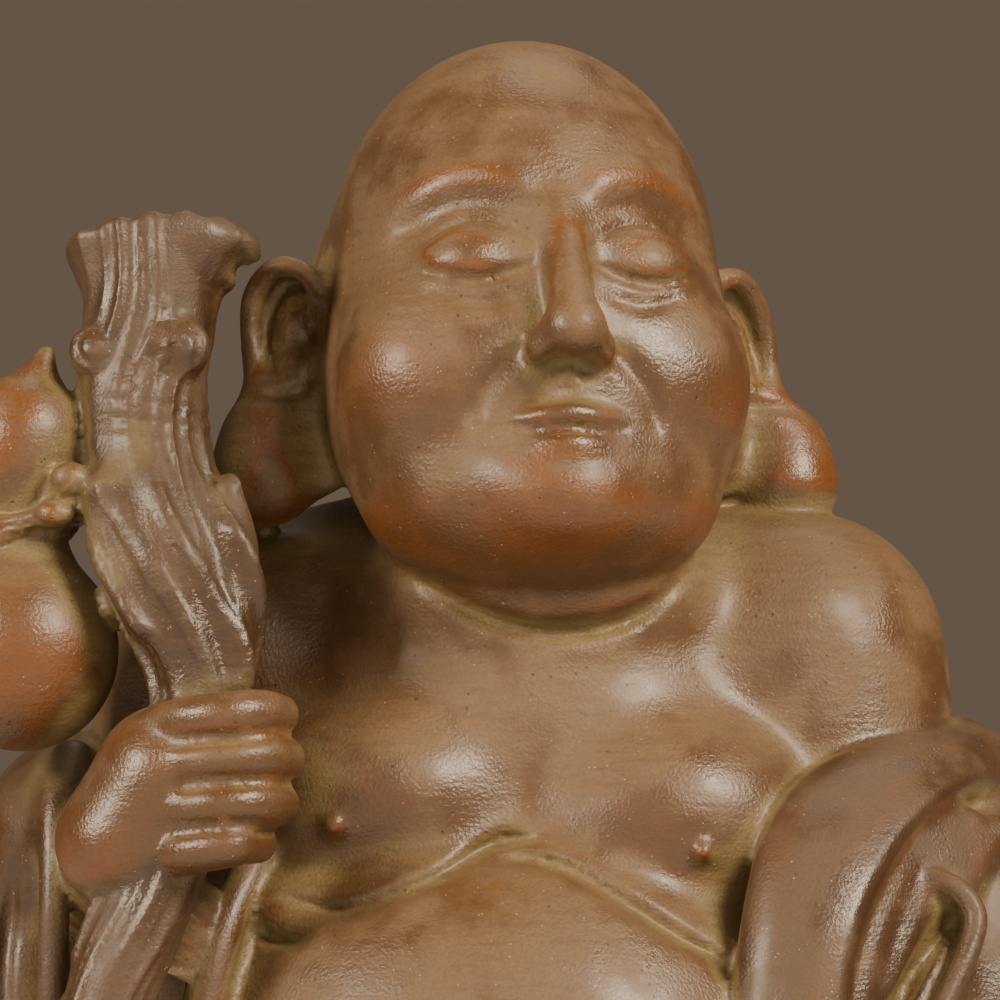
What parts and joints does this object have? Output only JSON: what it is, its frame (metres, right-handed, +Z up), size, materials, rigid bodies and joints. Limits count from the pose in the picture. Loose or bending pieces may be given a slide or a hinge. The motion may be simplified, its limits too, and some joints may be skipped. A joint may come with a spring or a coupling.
{
  "type": "hotei figure",
  "caption": "Standing hotei figure in brown unglazed stoneware, bare to the waist, gripping a knotted staff with a gourd tied to it, on a low oval base.",
  "frame": {"origin": "middle of the low base's flat underside", "axes": "+Z up the figure, -Y the way the figure faces, +X towards its left hand"},
  "size_m": [0.2264, 0.159, 0.3593],
  "materials": {
    "stoneware": "unglazed brown clay, rubbed to a soft shine, with dust in the recesses"
  },
  "bodies": {
    "root": {"hotei_figure": "stoneware"}
  },
  "joints": []
}
